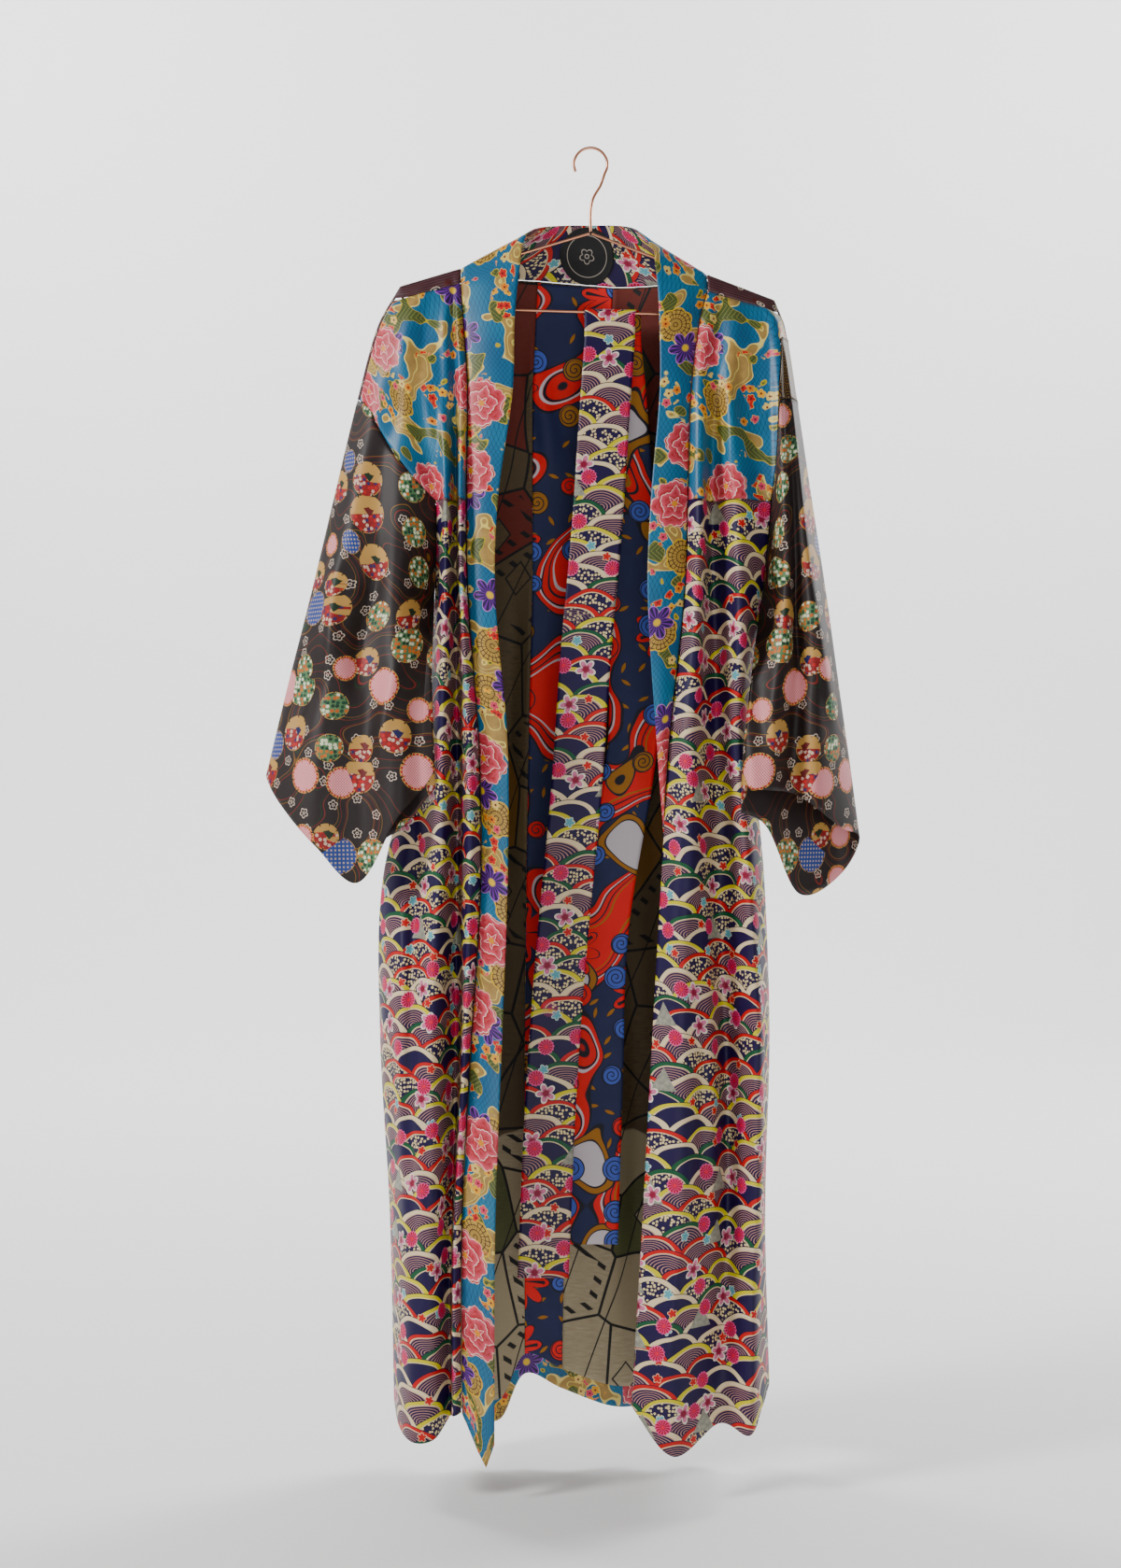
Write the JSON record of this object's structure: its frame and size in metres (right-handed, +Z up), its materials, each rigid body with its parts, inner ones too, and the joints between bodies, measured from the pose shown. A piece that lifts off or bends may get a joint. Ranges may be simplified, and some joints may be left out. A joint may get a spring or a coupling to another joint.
{
  "type": "kimono on a wire hanger",
  "caption": "Full-length open-front patchwork kimono robe with a loose sash, hung on a thin copper wire hanger.",
  "frame": {"origin": "the point inside the top of the hanger's hook where a rail carries it", "axes": "+X to the viewer's right seen from the front, the open front faces -Y, +Z up"},
  "size_m": [0.671, 0.1816, 1.4638],
  "materials": {
    "floral": "teal flowered silk, slight sheen",
    "wave": "many-coloured wave-patterned silk",
    "mauve": "mauve striped silk",
    "brown": "dark brown silk with medallions",
    "black": "black silk with gold wave pattern",
    "beige": "beige slubbed cloth with a coloured pattern",
    "navy": "navy cloth with a coloured pattern",
    "label": "plain black woven patch",
    "copper": "thin copper coat on round wire"
  },
  "bodies": {
    "root": {"front_yoke_left": "floral", "front_yoke_right": "floral", "front_skirt_left": "wave", "front_skirt_right": "wave", "shoulder_left": "mauve", "shoulder_right": "mauve", "back_yoke": "mauve", "back_skirt": "floral", "sleeve_left": "brown", "sleeve_right": "brown", "sleeve_patch_right": "black", "neckband": "floral", "label_patch": "label", "lining_back_left": "beige", "lining_back_centre": "navy", "lining_back_right": "beige", "belt": "wave", "hanger_frame": "copper", "hanger_hook": "copper"}
  },
  "joints": []
}
